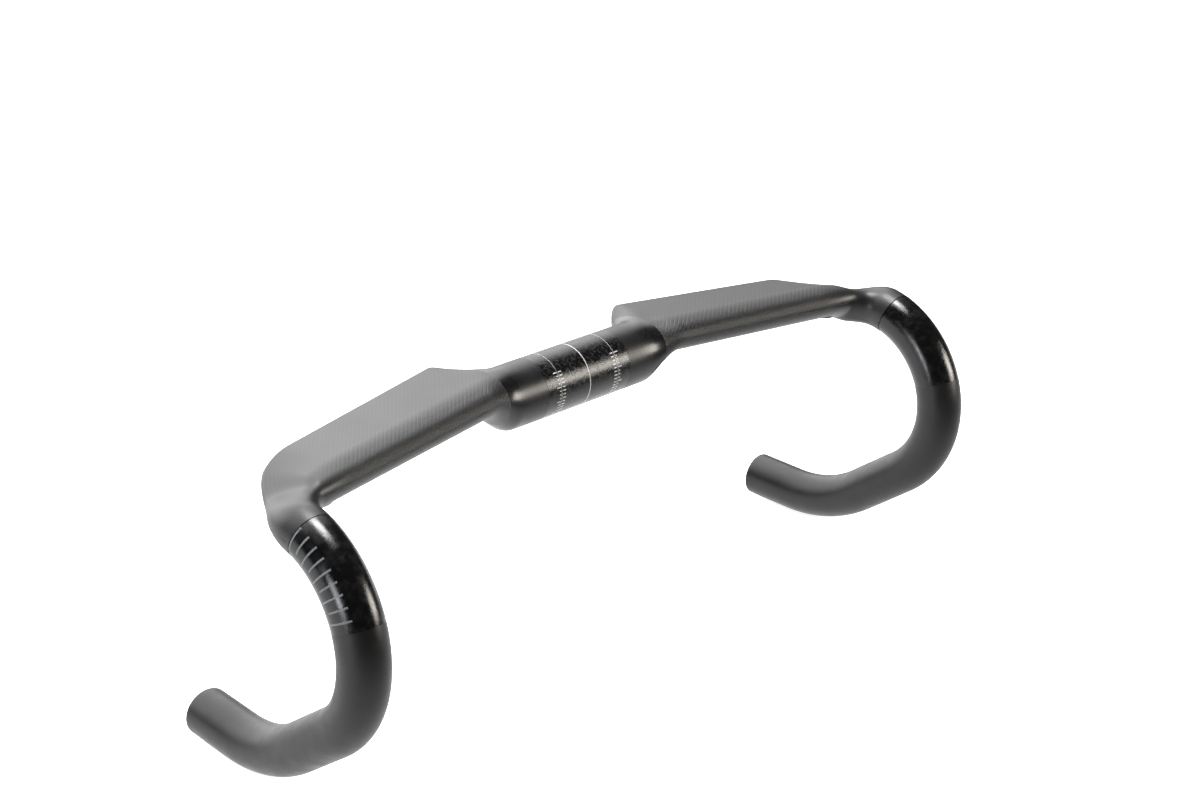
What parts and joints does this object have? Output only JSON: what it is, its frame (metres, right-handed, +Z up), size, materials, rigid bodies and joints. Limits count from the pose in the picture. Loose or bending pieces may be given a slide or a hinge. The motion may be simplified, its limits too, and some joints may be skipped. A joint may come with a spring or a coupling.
{
  "type": "drop handlebar",
  "caption": "Carbon drop handlebar with flat wing-shaped tops, round drops, a marked stem clamp area, lever grip zones and underside cable ports",
  "frame": {"origin": "middle of the stem clamp, on the clamp tube's axis", "axes": "+X along the clamp axis to the rider's left, -Y forward, +Z up with the wing tops as seen in use; metres"},
  "size_m": [0.426, 0.1371, 0.1553],
  "materials": {
    "carbon_satin": "satin carbon laminate, clear coat over fibre",
    "carbon_weave": "satin carbon with a fine twill face ply",
    "carbon_gloss": "gloss carbon",
    "carbon_raw": "raw moulded carbon",
    "grip_film": "gloss coat over coarse grit",
    "lever_film": "gloss coat over fine grit",
    "print_white": "printed ink",
    "print_grey": "printed ink",
    "rubber": "matte moulded rubber"
  },
  "bodies": {
    "root": {"clamp_tube": "carbon_gloss", "clamp_grip_film": "grip_film", "clamp_centre_mark": "print_white", "clamp_scale_left": "print_white", "clamp_scale_right": "print_white", "shoulder_left": "carbon_gloss", "shoulder_right": "carbon_gloss", "shoulder_sleeve_left": "carbon_raw", "shoulder_sleeve_right": "carbon_raw", "wing_upper_skin_left": "carbon_weave", "wing_upper_skin_right": "carbon_weave", "wing_lower_skin_left": "carbon_weave", "wing_lower_skin_right": "carbon_weave", "drop_tube_left": "carbon_satin", "drop_tube_right": "carbon_satin", "drop_sleeve_left": "carbon_raw", "drop_sleeve_right": "carbon_raw", "lever_grip_film_left": "lever_film", "lever_grip_film_right": "lever_film", "lever_scale_left": "print_grey", "lever_scale_right": "print_grey", "tip_port_grommet_left": "rubber", "tip_port_grommet_right": "rubber", "centre_port_grommet_left": "rubber", "centre_port_grommet_right": "rubber"}
  },
  "joints": []
}
